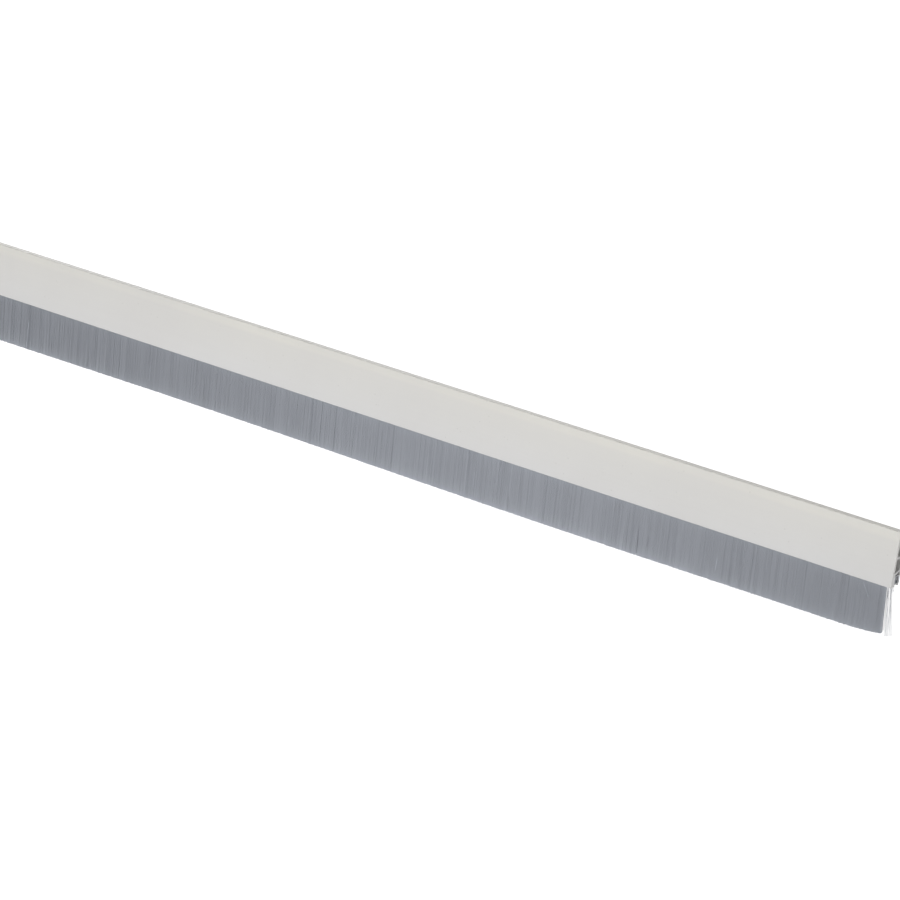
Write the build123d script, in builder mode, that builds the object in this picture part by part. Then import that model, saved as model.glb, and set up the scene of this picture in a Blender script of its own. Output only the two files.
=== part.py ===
from build123d import *

# Self-adhesive brush draught strip for the foot of a door, as it is sold: a white hollow PVC
# carrier, a grey brush in a folded steel spine that is slid into the carrier from one end, and
# foam tape on the back with its release liner still on.
# X runs along the strip and Z is up, with the bristles pointing down. The front looks along -Y.
# The origin is the middle of the liner's outer face, the side that goes against the door.
# All sizes are in millimetres.

import os

# Whole strip
strip_length = 1000.0
bristle_drop = 22.7
brush_end_recess = 3.4

# Carrier section
carrier_height = 23.1
carrier_top_depth = 3.6
channel_front_wall = 2.7
channel_back_wall = 0.6
front_wall = 1.2
back_wall = 0.9
top_wall = 1.0
rib_wall = 0.8
lip_thickness = 0.9
slot_width = 2.3
roof_rise = 1.2
lower_chamber_height = 4.8
front_lip_radius = 0.4
front_top_radius = 0.5
back_top_radius = 1.0
chamber_radius = 0.35
heel_depth = 0.6
heel_height = 1.4

# Steel spine and the wire inside it
spine_width = 2.9
spine_height = 3.6
spine_wall = 0.4
spine_corner_radius = 0.9
spine_pinch = 0.2
spine_pinch_height = 1.2
spine_side_clearance = 0.1
spine_headroom = 0.3
wire_diameter = 0.9
wire_clearance = 0.03

# Bristles
bristle_clearance = 0.05
fold_thickness = 0.6
tip_spread = 0.7
tuft_pitch = 3.0
tuft_pitch_variation = 0.45
groove_depth_min = 0.12
groove_depth_max = 0.4
tuft_width_step = 0.618
groove_depth_step = 0.755

# Tape and liner
tape_width = 15.0
tape_thickness = 1.0
tape_bottom = 4.7
liner_thickness = 0.12
liner_overhang = 1.0

# Places that follow from the sizes
channel_width = spine_width + 2 * spine_side_clearance
carrier_depth = channel_front_wall + channel_width + channel_back_wall
carrier_bottom = -(tape_bottom + tape_width / 2)
carrier_top = carrier_bottom + carrier_height
carrier_back = -(liner_thickness + tape_thickness)
carrier_front = carrier_back - carrier_depth
face_lean = (carrier_depth - carrier_top_depth) / carrier_height

channel_front = carrier_front + channel_front_wall
channel_back = channel_front + channel_width
brush_middle = (channel_front + channel_back) / 2
lip_top = carrier_bottom + lip_thickness
spine_top = lip_top + spine_height
roof_front = spine_top + spine_headroom
roof_back = roof_front + roof_rise
chamber_back = carrier_back - back_wall
chamber_top = carrier_top - top_wall
chamber_rise = roof_rise * (chamber_back - channel_front) / channel_width
mid_rib_bottom = roof_back + rib_wall + lower_chamber_height
mid_rib_top = mid_rib_bottom + rib_wall

brush_length = strip_length - 2 * brush_end_recess
spine_mouth_width = spine_width - 2 * spine_pinch
wire_height = spine_top - spine_wall - bristle_clearance - fold_thickness - wire_diameter / 2
tips = carrier_bottom - bristle_drop


def inner_front(height):
    """Depth of the inner side of the leaning front wall at a height."""
    return carrier_front + face_lean * (height - carrier_bottom) + front_wall


def spine_outline(inset):
    """Points of the spine's outline, drawn in by an inset on its sides and top."""
    mouth = spine_mouth_width / 2 - inset
    side = spine_width / 2 - inset
    shoulder = lip_top + spine_pinch_height
    top = spine_top - inset
    return [
        (brush_middle - mouth, lip_top),
        (brush_middle - side, shoulder),
        (brush_middle - side, top),
        (brush_middle + side, top),
        (brush_middle + side, shoulder),
        (brush_middle + mouth, lip_top),
    ]


# Carrier: one extrusion with a leaning front, closed chambers and a slotted brush channel
with BuildPart() as carrier:
    with BuildSketch(Plane.YZ.offset(-strip_length / 2)) as carrier_section:
        with BuildLine():
            Polyline(
                (carrier_front, carrier_bottom),
                (carrier_back - carrier_top_depth, carrier_top),
                (carrier_back, carrier_top),
                (carrier_back, carrier_bottom + heel_height),
                (carrier_back - heel_depth, carrier_bottom),
                close=True,
            )
        make_face()
        fillet(carrier_section.vertices().sort_by(Axis.X)[0], front_lip_radius)
        fillet(carrier_section.vertices().sort_by(Axis.Y)[-2:].sort_by(Axis.X)[0], front_top_radius)
        fillet(carrier_section.vertices().group_by(Axis.X)[-1].sort_by(Axis.Y)[-1], back_top_radius)
    extrude(amount=strip_length)

    with BuildSketch(Plane.YZ.offset(-strip_length / 2)):
        with BuildLine():
            Polyline(
                (channel_front, lip_top),
                (channel_front, roof_front),
                (channel_back, roof_back),
                (channel_back, lip_top),
                close=True,
            )
        make_face()
        with Locations((brush_middle, carrier_bottom)):
            Rectangle(slot_width, 2 * lip_thickness)
    extrude(amount=strip_length, mode=Mode.SUBTRACT)

    with BuildSketch(Plane.YZ.offset(-strip_length / 2)):
        for low_front, low_back, high in (
            (roof_front + rib_wall, roof_front + rib_wall + chamber_rise, mid_rib_bottom),
            (mid_rib_top, mid_rib_top, chamber_top),
        ):
            with BuildLine():
                Polyline(
                    (inner_front(low_front), low_front),
                    (inner_front(high), high),
                    (chamber_back, high),
                    (chamber_back, low_back),
                    close=True,
                )
            chamber = make_face()
            fillet(chamber.vertices(), chamber_radius)
    extrude(amount=strip_length, mode=Mode.SUBTRACT)
carrier.part.label = "carrier"

# Brush spine: steel strip folded to a channel, with its mouth pinched in on the bristles
with BuildPart() as brush_spine:
    with BuildSketch(Plane.YZ.offset(-strip_length / 2)) as spine_section:
        with BuildLine():
            Polyline(*spine_outline(0), close=True)
        make_face()
        fillet(spine_section.vertices().group_by(Axis.Y)[-1], spine_corner_radius)
        with BuildLine():
            Polyline(*spine_outline(spine_wall), close=True)
        make_face(mode=Mode.SUBTRACT)
        fillet(
            spine_section.vertices().group_by(Axis.Y)[-2],
            spine_corner_radius - spine_wall,
        )
    extrude(amount=strip_length)
brush_spine.part.label = "brush_spine"

# Core wire: the bristles are folded over it inside the spine
with BuildPart() as core_wire:
    with BuildSketch(Plane.YZ.offset(-strip_length / 2)):
        with Locations((brush_middle, wire_height)):
            Circle(wire_diameter / 2)
    extrude(amount=strip_length)
core_wire.part.label = "core_wire"


def tuft_edge(middle_offset, outer_offset, side):
    """Closed outline of one row of tufts, with a groove between each two of them.

    The two steps move each tuft's width and each groove's depth round their ranges, so that
    neighbours differ.
    """
    count = max(2, round(brush_length / tuft_pitch))
    shares = [
        1 + tuft_pitch_variation * (2 * (k * tuft_width_step % 1) - 1) for k in range(count)
    ]
    scale = brush_length / sum(shares)
    start = -brush_length / 2
    points = [(start, brush_middle + side * middle_offset)]
    for k, share in enumerate(shares):
        depth = groove_depth_min + (groove_depth_max - groove_depth_min) * (k * groove_depth_step % 1)
        points.append((start, brush_middle + side * (outer_offset - depth)))
        points.append((start + share * scale / 2, brush_middle + side * outer_offset))
        start += share * scale
    points.append((brush_length / 2, brush_middle + side * (outer_offset - groove_depth_min)))
    points.append((brush_length / 2, brush_middle + side * middle_offset))
    return points


# Bristles: one pack, folded over the wire, that spreads towards its tips and shows its tufts.
# The fold runs to the cut ends, and the hanging part stops short where the last tufts are gone.
with BuildPart() as bristles:
    root = (spine_mouth_width / 2) - spine_wall - bristle_clearance
    core = root - groove_depth_max
    with BuildSketch(Plane.YZ.offset(-strip_length / 2)) as pack_section:
        with BuildLine():
            Polyline(*spine_outline(spine_wall + bristle_clearance), close=True)
        make_face()
        fillet(
            pack_section.vertices().group_by(Axis.Y)[-1],
            spine_corner_radius - spine_wall - bristle_clearance,
        )
        with Locations((brush_middle, wire_height)):
            Circle(wire_diameter / 2 + wire_clearance, mode=Mode.SUBTRACT)
    extrude(amount=strip_length)
    with BuildSketch(Plane.YZ.offset(-brush_length / 2)):
        with BuildLine():
            Polyline(
                (brush_middle - root, lip_top),
                (brush_middle - root, carrier_bottom),
                (brush_middle - core, carrier_bottom),
                (brush_middle - core - tip_spread, tips),
                (brush_middle + core + tip_spread, tips),
                (brush_middle + core, carrier_bottom),
                (brush_middle + root, carrier_bottom),
                (brush_middle + root, lip_top),
                close=True,
            )
        make_face()
    extrude(amount=brush_length)
    for side in (-1, 1):
        with BuildSketch(Plane.XY.offset(carrier_bottom)):
            with BuildLine():
                Polyline(*tuft_edge(core / 2, root - bristle_clearance, side), close=True)
            make_face()
        slope = Vector(0, side * tip_spread, -bristle_drop)
        extrude(amount=slope.length, dir=slope.normalized())
bristles.part.label = "bristles"

# Adhesive tape: closed foam with glue on both faces
with BuildPart() as adhesive_tape:
    with BuildSketch(Plane.YZ.offset(-strip_length / 2)):
        with Locations((-liner_thickness - tape_thickness / 2, 0)):
            Rectangle(tape_thickness, tape_width)
    extrude(amount=strip_length)
adhesive_tape.part.label = "adhesive_tape"

# Release liner: paper a little wider than the tape, so that a nail can lift its edge
with BuildPart() as release_liner:
    with BuildSketch(Plane.YZ.offset(-strip_length / 2)):
        with Locations((-liner_thickness / 2, 0)):
            Rectangle(liner_thickness, tape_width + 2 * liner_overhang)
    extrude(amount=strip_length)
release_liner.part.label = "release_liner"

os.makedirs("parts", exist_ok=True)
for piece in (carrier, brush_spine, core_wire, bristles, adhesive_tape, release_liner):
    export_step(piece.part, f"parts/{piece.part.label}.step")
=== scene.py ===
"""Looks of a self-adhesive brush draught strip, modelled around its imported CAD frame.

X runs along the strip, the front looks along -Y and the bristles hang down along -Z.
All sizes are in metres.
"""
import logging
import math
from dataclasses import dataclass, field
from enum import Enum
from typing import Any, Iterable, Optional, Sequence, Union

import bmesh
import bpy
from mathutils import Matrix, Vector
from mathutils.geometry import tessellate_polygon


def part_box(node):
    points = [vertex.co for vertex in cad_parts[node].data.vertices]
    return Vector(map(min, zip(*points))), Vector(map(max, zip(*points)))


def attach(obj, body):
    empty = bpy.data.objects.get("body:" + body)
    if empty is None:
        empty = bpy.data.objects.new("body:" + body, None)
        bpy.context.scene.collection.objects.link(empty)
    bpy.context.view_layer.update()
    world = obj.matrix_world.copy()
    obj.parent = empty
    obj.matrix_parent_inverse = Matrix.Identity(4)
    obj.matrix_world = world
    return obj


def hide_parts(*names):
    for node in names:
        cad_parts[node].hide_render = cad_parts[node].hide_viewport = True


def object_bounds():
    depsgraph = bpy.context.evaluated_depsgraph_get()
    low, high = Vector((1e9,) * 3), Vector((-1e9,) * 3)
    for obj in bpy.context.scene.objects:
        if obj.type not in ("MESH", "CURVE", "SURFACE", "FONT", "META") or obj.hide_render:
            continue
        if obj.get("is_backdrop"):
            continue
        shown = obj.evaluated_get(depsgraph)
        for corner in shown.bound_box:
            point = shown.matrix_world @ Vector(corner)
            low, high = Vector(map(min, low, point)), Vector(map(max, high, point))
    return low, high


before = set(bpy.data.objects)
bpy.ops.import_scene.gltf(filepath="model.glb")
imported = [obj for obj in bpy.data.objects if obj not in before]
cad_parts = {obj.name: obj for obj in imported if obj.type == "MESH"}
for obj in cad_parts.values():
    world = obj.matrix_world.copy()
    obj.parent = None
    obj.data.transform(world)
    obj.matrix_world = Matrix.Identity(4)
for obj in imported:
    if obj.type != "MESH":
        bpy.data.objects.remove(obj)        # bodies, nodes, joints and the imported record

LOG = logging.getLogger("draught_strip")
MM = 0.001
BODY = "root"
PICTURE_PIXELS = 900

# Usual range of a noise, and the ranges of it that make specks and their places
NOISE_RANGE = (0.3, 0.7)
SPECK_SIZES = (0.05, 0.16)
SPECK_RARITY = (0.62, 0.7)

# Changes in a metre of the waves along a row of strands
BROAD_WAVES = 110.0
FINE_WAVES = 620.0
TONE_WAVES = 420.0

# How late strands grow paler (painted light) and shorter towards a row's ends, as powers
PALE_POWER = 1.5
SHORT_POWER = 4.0

# A strand's tip against its root, its own turn in radians, and the share of the tone's wave
TIP_TAPER = 0.9
OWN_TURN = 0.3
TONE_WAVE_SHARE = 0.005

Triple = tuple[float, float, float]
Colour = Triple
Pair = tuple[float, float]
Point = Pair
Socket = bpy.types.NodeSocket
Value = Union[float, int, bool, Colour, Socket, bpy.types.Object, bpy.types.Material]
WHITE = (1.0, 1.0, 1.0, 1.0)


@dataclass(frozen=True)
class NodeBox:
    """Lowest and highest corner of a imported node.

    Args:
        low: corner with the smallest X, Y and Z.
        high: corner with the largest X, Y and Z.
    """

    low: Vector
    high: Vector

    @classmethod
    def of(cls, node: str) -> "NodeBox":
        """Read a node's box from the frame."""
        low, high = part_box(node)
        return cls(Vector(low), Vector(high))


def first_of(sockets: Iterable[Socket], kind: str, name: str = "") -> Socket:
    """The first socket of a type, and of a name where one is given."""
    return next(socket for socket in sockets if socket.type == kind and name in ("", socket.name))


class Trees:
    """Short calls that build node trees, for shaders and for geometry."""

    def __init__(self, tree: bpy.types.NodeTree) -> None:
        """Work on one node tree."""
        self.tree = tree

    @classmethod
    def cleared(cls, owner: Union[bpy.types.Material, bpy.types.World]) -> "Trees":
        """Empty the tree of a material or a world.

        Args:
            owner: the material or world.

        Returns:
            Its tree, ready to build.
        """
        owner.use_nodes = True
        owner.node_tree.nodes.clear()
        return cls(owner.node_tree)

    def socket(self, name: str, kind: str, default: Optional[Value] = None, output: bool = False) -> None:
        """Declare a socket of a group.

        Args:
            name: what the socket is called.
            kind: its socket type.
            default: value of an input that nothing is linked to.
            output: true for an output.
        """
        made = self.tree.interface.new_socket(
            name=name, in_out="OUTPUT" if output else "INPUT", socket_type=kind
        )
        if default is not None:
            made.default_value = default

    def add(self, kind: str, inputs: Optional[dict[Any, Value]] = None, **settings: Any) -> bpy.types.Node:
        """Add a node.

        Args:
            kind: the node's type.
            inputs: value or socket for each input, by its name or number.
            settings: the node's own options.

        Returns:
            The new node.
        """
        node = self.tree.nodes.new(kind)
        for name, value in settings.items():
            setattr(node, name, value)
        for key, value in (inputs or {}).items():
            self.feed(node, key, value)
        return node

    def feed(self, node: bpy.types.Node, key: Any, value: Value) -> None:
        """Link a socket to an input, or set the input's value.

        Args:
            node: the node that is fed.
            key: the input's name or number.
            value: a socket, or a plain value.
        """
        self.give(node.inputs[key], value)

    def give(self, target: Socket, value: Value) -> None:
        """Link a socket to an input socket, or set the input's value.

        Args:
            target: the input socket.
            value: a socket, or a plain value.
        """
        if isinstance(value, Socket):
            self.tree.links.new(value, target)
        else:
            target.default_value = value

    def maths(self, operation: str, *values: Value) -> Socket:
        """Result of a Math node on one, two or three values."""
        return self.add("ShaderNodeMath", dict(enumerate(values)), operation=operation).outputs[0]

    def total(self, first: Value, first_share: float, second: Value, second_share: float) -> Socket:
        """Two values added, each by its own share."""
        return self.maths("MULTIPLY_ADD", first, first_share, self.maths("MULTIPLY", second, second_share))

    def remap(self, value: Value, low: float, high: float, new_low: float, new_high: float) -> Socket:
        """A value moved from one range to another, and held within it."""
        return self.add(
            "ShaderNodeMapRange", {0: value, 1: low, 2: high, 3: new_low, 4: new_high}
        ).outputs[0]

    def between(self, noise: Value, low: float, high: float) -> Socket:
        """A value between two limits that follows a noise over its usual range."""
        return self.remap(noise, *NOISE_RANGE, low, high)

    def vector(self, x: Value, y: Value, z: Value) -> Socket:
        """A vector made of three values."""
        return self.add("ShaderNodeCombineXYZ", {0: x, 1: y, 2: z}).outputs[0]

    def parts(self, vector: Socket) -> Sequence[Socket]:
        """The three values of a vector."""
        return self.add("ShaderNodeSeparateXYZ", {0: vector}).outputs

    def mix(self, factor: Value, first: Value, second: Value) -> Socket:
        """Mix two colours.

        Args:
            factor: 0 for the first colour and 1 for the second.
            first: a colour, or a socket that gives one.
            second: a colour, or a socket that gives one.

        Returns:
            The colour between them.
        """
        node = self.tree.nodes.new("ShaderNodeMix")
        node.data_type = "RGBA"
        colours = [socket for socket in node.inputs if socket.type == "RGBA"]
        self.feed(node, 0, factor)
        for socket, value in zip(colours, (first, second)):
            self.give(socket, value if isinstance(value, Socket) else (*value, 1.0))
        return first_of(node.outputs, "RGBA")


def streak_group() -> bpy.types.ShaderNodeTree:
    """Group with long fine streaks: one mask that changes only across them, and one with grain.

    Returns:
        A shader group with the inputs Vector, Scale and Fineness and the outputs Broad, Fine
        and Height.
    """
    group = bpy.data.node_groups.new("long_streaks", "ShaderNodeTree")
    build = Trees(group)
    build.socket("Vector", "NodeSocketVector")
    build.socket("Scale", "NodeSocketVector", (1.0, 1.0, 1.0))
    build.socket("Fineness", "NodeSocketFloat", 1.0)
    for name in ("Broad", "Fine", "Height"):
        build.socket(name, "NodeSocketFloat", output=True)
    entry = build.add("NodeGroupInput")
    stretched = build.add(
        "ShaderNodeVectorMath",
        {0: entry.outputs["Vector"], 1: entry.outputs["Scale"]},
        operation="MULTIPLY",
    ).outputs[0]
    broad = build.add("ShaderNodeTexNoise", {"Vector": stretched, "Scale": 1.0, "Detail": 2.0}).outputs[0]
    fine = build.add(
        "ShaderNodeTexNoise",
        {"Vector": stretched, "Scale": entry.outputs["Fineness"], "Detail": 4.0, "Roughness": 0.65},
    ).outputs[0]
    height = build.total(broad, 0.5, fine, 0.5)
    build.add("NodeGroupOutput", {"Broad": broad, "Fine": fine, "Height": height})
    return group


def handling_group() -> bpy.types.ShaderNodeTree:
    """Group with the marks of handling: a soft cloudy mask and small scattered specks.

    Returns:
        A shader group with the inputs Vector, Cloud Scale, Speck Scale and the outputs Cloud
        and Specks.
    """
    group = bpy.data.node_groups.new("handling_marks", "ShaderNodeTree")
    build = Trees(group)
    build.socket("Vector", "NodeSocketVector")
    build.socket("Cloud Scale", "NodeSocketFloat", 10.0)
    build.socket("Speck Scale", "NodeSocketFloat", 900.0)
    for name in ("Cloud", "Specks"):
        build.socket(name, "NodeSocketFloat", output=True)
    entry = build.add("NodeGroupInput")
    vector = entry.outputs["Vector"]
    cloud = build.add(
        "ShaderNodeTexNoise",
        {"Vector": vector, "Scale": entry.outputs["Cloud Scale"], "Detail": 3.0, "Roughness": 0.55},
    ).outputs[0]
    cells = build.add(
        "ShaderNodeTexVoronoi", {"Vector": vector, "Scale": entry.outputs["Speck Scale"]}
    ).outputs["Distance"]
    spots = build.remap(cells, *SPECK_SIZES, 1.0, 0.0)
    where = build.add(
        "ShaderNodeTexNoise", {"Vector": vector, "Scale": entry.outputs["Speck Scale"], "Detail": 0.0}
    ).outputs[0]
    rare = build.remap(where, *SPECK_RARITY, 0.0, 1.0)
    build.add(
        "NodeGroupOutput",
        {"Cloud": cloud, "Specks": build.maths("MULTIPLY", spots, rare)},
    )
    return group


@dataclass
class SharedEffects:
    """Shader groups that several finishes use.

    Args:
        streaks: long fine streaks, as a die, a mill or a saw leaves them.
        handling: cloudy tone and specks.
    """

    streaks: bpy.types.ShaderNodeTree = field(default_factory=streak_group)
    handling: bpy.types.ShaderNodeTree = field(default_factory=handling_group)


class Finish:
    """One material with a Principled shader and the shared effects at hand."""

    def __init__(self, name: str, effects: SharedEffects) -> None:
        """Start an empty material.

        Args:
            name: the material's name.
            effects: groups to place in it.
        """
        self.material = bpy.data.materials.new(name)
        self.build = Trees.cleared(self.material)
        self.effects = effects
        self.shader = self.build.add("ShaderNodeBsdfPrincipled")
        self.build.add("ShaderNodeOutputMaterial", {"Surface": self.shader.outputs[0]})
        self.position = self.build.add("ShaderNodeTexCoord").outputs["Object"]

    def set(self, **values: Value) -> None:
        """Set or link inputs of the shader.

        Args:
            values: a socket or plain value for each input, with an underscore for a space.
        """
        for key, value in values.items():
            if isinstance(value, tuple):
                value = (*value, 1.0)
            self.build.feed(self.shader, key.replace("_", " "), value)

    def height(self) -> Socket:
        """Z of the place that is shaded."""
        return self.build.parts(self.position)[2]

    def specked(self, marks: bpy.types.Node, share: float, skin: Value, speck: Colour) -> Socket:
        """A skin with the handling group's specks in it, by a share of their own colour."""
        return self.build.mix(self.build.maths("MULTIPLY", marks.outputs["Specks"], share), skin, speck)

    def streaks(self, scale: Triple, fineness: float) -> bpy.types.Node:
        """Place the streak group with its own scale."""
        return self._group(self.effects.streaks, Vector=self.position, Scale=scale, Fineness=fineness)

    def handling(self, cloud_scale: float, speck_scale: float) -> bpy.types.Node:
        """Place the handling group with its own scales."""
        return self._group(
            self.effects.handling,
            Vector=self.position,
            **{"Cloud Scale": cloud_scale, "Speck Scale": speck_scale},
        )

    def _group(self, tree: bpy.types.ShaderNodeTree, **values: Value) -> bpy.types.Node:
        """Place a group.

        Args:
            tree: the group.
            values: a socket or plain value for each of its inputs.

        Returns:
            The node that holds it.
        """
        node = self.build.add("ShaderNodeGroup", node_tree=tree)
        for key, value in values.items():
            self.build.feed(node, key, value)
        return node

    def bump(self, height: Value, strength: float, distance: float) -> None:
        """Feed a height to the shader's normal."""
        node = self.build.add(
            "ShaderNodeBump", {"Height": height, "Strength": strength, "Distance": distance}
        )
        self.set(Normal=node.outputs[0])


@dataclass(frozen=True)
class WhitePvc:
    """Off-white rigid PVC, drawn through a die, with a satin skin.

    Args:
        colour: the plastic's own colour, used on its lower part.
        painted_warm_top: painted light, the warmer colour given to its upper part for the light there.
        painted_top_highlight: painted highlight, a paler tone along its upper edge.
        shade: the slightly darker tone of its clouds.
        speck: colour of the small specks in its skin.
        smooth: roughness of its smoothest lines.
        coarse: roughness of its coarsest lines.
        warm_light_start: Z below which no painted warm light is laid on.
        warm_light_full: Z above which the painted warm light is full.
        highlight_start: Z where the painted highlight starts.
        highlight_fade: height over which it fades in.
        line_share: how far the lines from the die give the skin its shade.
        cloud_share: how far its clouds do.
        speck_share: strength of the specks.
    """

    colour: Colour = (0.70, 0.70, 0.70)
    painted_warm_top: Colour = (0.705, 0.693, 0.650)
    painted_top_highlight: Colour = (0.745, 0.730, 0.672)
    shade: Colour = (0.66, 0.65, 0.635)
    speck: Colour = (0.42, 0.41, 0.39)
    smooth: float = 0.37
    coarse: float = 0.51
    warm_light_start: float = -12.0 * MM
    warm_light_full: float = 9.0 * MM
    highlight_start: float = 6.4 * MM
    highlight_fade: float = 2.0 * MM
    line_share: float = 0.35
    cloud_share: float = 0.5
    speck_share: float = 0.35

    def build(self, effects: SharedEffects) -> bpy.types.Material:
        """Make the material.

        Args:
            effects: groups to place in it.

        Returns:
            The finished material.
        """
        finish = Finish("white_pvc", effects)
        build = finish.build
        marks = finish.handling(cloud_scale=14.0, speck_scale=420.0)
        lines = finish.streaks(scale=(3.0, 900.0, 900.0), fineness=3.2)
        cloud = build.between(marks.outputs["Cloud"], 0.0, 1.0)
        tone = build.total(lines.outputs["Broad"], self.line_share, cloud, self.cloud_share)
        height = finish.height()
        # Painted light: the colour grows warmer towards the top, for how the light falls there.
        warm_light_share = build.remap(height, self.warm_light_start, self.warm_light_full, 0.0, 1.0)
        # Painted highlight: a paler band along the top of the face, where a rounded edge would catch the
        # light.
        painted_top_highlight = build.remap(height, self.highlight_start, self.highlight_start + self.highlight_fade, 0.0, 1.0)
        upper = build.mix(painted_top_highlight, build.mix(warm_light_share, self.colour, self.painted_warm_top), self.painted_top_highlight)
        skin = build.mix(tone, upper, self.shade)
        finish.set(
            Base_Color=finish.specked(marks, self.speck_share, skin, self.speck),
            Roughness=build.between(lines.outputs["Fine"], self.smooth, self.coarse),
            IOR=1.53,
        )
        finish.bump(lines.outputs["Height"], strength=0.35, distance=0.02 * MM)
        return finish.material


@dataclass(frozen=True)
class GreyBristle:
    """Grey synthetic filament, each strand with a tone of its own.

    Args:
        dark: colour of the darkest strands.
        light: colour of the lightest strands.
        smooth: roughness of a strand where it is smoothest.
        coarse: roughness of a strand where it is coarsest.
        tone_share: how far a strand's own tone moves it between the two colours.
        grain_share: how far the grain along it does.
        tip_lift: painted light, how much lighter a strand grows on its way down.
        edge_lift: painted light, how much lighter its cut tip is.
        root_lift: painted light, how much lighter it is just under the carrier's lip, in its shadow.
        tip_power: how late on the way down it grows lighter.
        edge_power: how close to its cut tip it does.
        root_power: how close to the lip it is lighter.
        lip_height: Z where the lightening starts.
        tip_height: Z of the tips.
        name: the material's name.
    """

    dark: Colour = (0.1485, 0.157, 0.176)
    light: Colour = (0.600, 0.633, 0.705)
    smooth: float = 0.42
    coarse: float = 0.60
    tone_share: float = 0.4
    grain_share: float = 0.05
    tip_lift: float = 0.09
    edge_lift: float = 0.23
    root_lift: float = 0.12
    tip_power: float = 2.8
    edge_power: float = 12.0
    root_power: float = 10.0
    lip_height: float = -12.2 * MM
    tip_height: float = -34.9 * MM
    name: str = "grey_bristle"

    @classmethod
    def pale(cls) -> "GreyBristle":
        """Single strands with painted backlight: pale colours for the light that shines through them."""
        return cls(dark=(0.50, 0.51, 0.53), light=(0.92, 0.93, 0.95), tip_lift=0.1, name="painted_backlight_bristle")

    @classmethod
    def packed(cls) -> "GreyBristle":
        """The folded pack with painted shade: dark colours for the light that hardly gets into it."""
        return cls(
            dark=(0.04, 0.042, 0.047), light=(0.20, 0.21, 0.23), tip_lift=0.0, edge_lift=0.0, root_lift=0.0,
            name="painted_shade_bristle",
        )

    def build(self, effects: SharedEffects) -> bpy.types.Material:
        """Make the material.

        Args:
            effects: groups to place in it.

        Returns:
            The finished material.
        """
        finish = Finish(self.name, effects)
        build = finish.build
        tone = build.add("ShaderNodeAttribute", attribute_name="tone").outputs["Fac"]
        along = finish.streaks(scale=(900.0, 900.0, 170.0), fineness=2.5)
        fallen = build.remap(finish.height(), self.lip_height, self.tip_height, 0.0, 1.0)
        mixed = build.total(tone, self.tone_share, along.outputs["Fine"], self.grain_share)
        # Painted light: the colour is made lighter towards the tips and just under the lip, against the
        # shade among the strands and under the lip.
        for place, power, lift in (
            (fallen, self.tip_power, self.tip_lift),
            (fallen, self.edge_power, self.edge_lift),
            (build.maths("SUBTRACT", 1.0, fallen), self.root_power, self.root_lift),
        ):
            mixed = build.maths("MULTIPLY_ADD", build.maths("POWER", place, power), lift, mixed)
        finish.set(
            Base_Color=build.mix(mixed, self.dark, self.light),
            Roughness=build.between(along.outputs["Fine"], self.smooth, self.coarse),
            IOR=1.5,
        )
        finish.bump(along.outputs["Height"], strength=0.3, distance=0.02 * MM)
        return finish.material


@dataclass(frozen=True)
class RolledSteel:
    """Thin galvanised steel strip, or drawn wire, with rolling lines along it.

    Args:
        name: the material's name.
        bright: the brighter tone of the zinc.
        dull: the duller tone of the zinc.
        spangle: size of the zinc's crystals, as a texture scale; 0 leaves them out.
        spangle_share: how far the crystals give the zinc its tone.
        speck_share: strength of the specks.
        smooth: roughness of its smoothest lines.
        coarse: roughness of its coarsest lines.
    """

    name: str = "galvanised_steel"
    bright: Colour = (0.38, 0.39, 0.40)
    dull: Colour = (0.24, 0.25, 0.27)
    spangle: float = 260.0
    spangle_share: float = 0.6
    speck_share: float = 0.4
    smooth: float = 0.28
    coarse: float = 0.46

    @classmethod
    def wire(cls) -> "RolledSteel":
        """The look of drawn bright wire, which has no zinc on it."""
        return cls("steel_wire", bright=(0.24, 0.24, 0.245), dull=(0.15, 0.15, 0.155), spangle=0.0)

    def build(self, effects: SharedEffects) -> bpy.types.Material:
        """Make the material.

        Args:
            effects: groups to place in it.

        Returns:
            The finished material.
        """
        finish = Finish(self.name, effects)
        build = finish.build
        lines = finish.streaks(scale=(12.0, 1600.0, 1600.0), fineness=2.0)
        marks = finish.handling(cloud_scale=60.0, speck_scale=700.0)
        tone = lines.outputs["Broad"]
        if self.spangle:
            cells = build.add("ShaderNodeTexVoronoi", {"Vector": finish.position, "Scale": self.spangle})
            grey = build.add("ShaderNodeSeparateColor", {0: cells.outputs["Color"]}).outputs[0]
            tone = build.total(grey, self.spangle_share, tone, 1.0 - self.spangle_share)
        skin = build.mix(tone, self.dull, self.bright)
        finish.set(
            Base_Color=finish.specked(marks, self.speck_share, skin, self.dull),
            Metallic=1.0,
            Roughness=build.between(lines.outputs["Fine"], self.smooth, self.coarse),
        )
        finish.bump(lines.outputs["Height"], strength=0.3, distance=0.01 * MM)
        return finish.material


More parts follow.
